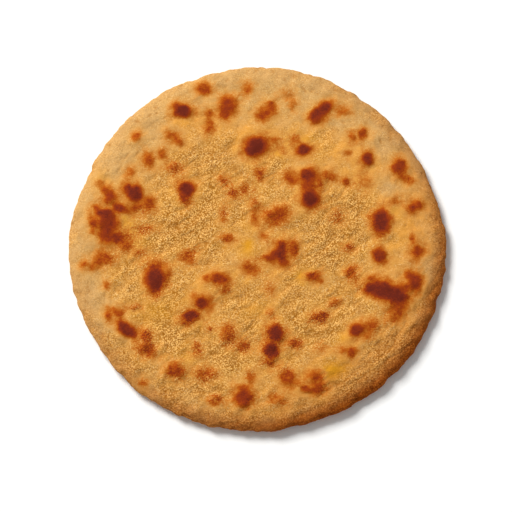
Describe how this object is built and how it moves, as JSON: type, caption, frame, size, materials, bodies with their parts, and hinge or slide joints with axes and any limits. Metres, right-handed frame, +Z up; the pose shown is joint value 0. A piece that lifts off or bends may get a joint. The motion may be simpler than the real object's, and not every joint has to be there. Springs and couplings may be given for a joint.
{
  "type": "millet roti",
  "caption": "Thick round griddle-baked millet flatbread with a rounded uneven edge, gentle swells and scorched blisters, lying flat.",
  "frame": {"origin": "middle of the footprint, on the surface that the roti rests on", "axes": "+Z up through the thickness, +X to the right and +Y away from a viewer in front"},
  "size_m": [0.1798, 0.1754, 0.0102],
  "materials": {
    "crust": "dry matte millet crust, beige to golden, with browned and charred blisters"
  },
  "bodies": {
    "root": {"roti": "crust"}
  },
  "joints": []
}
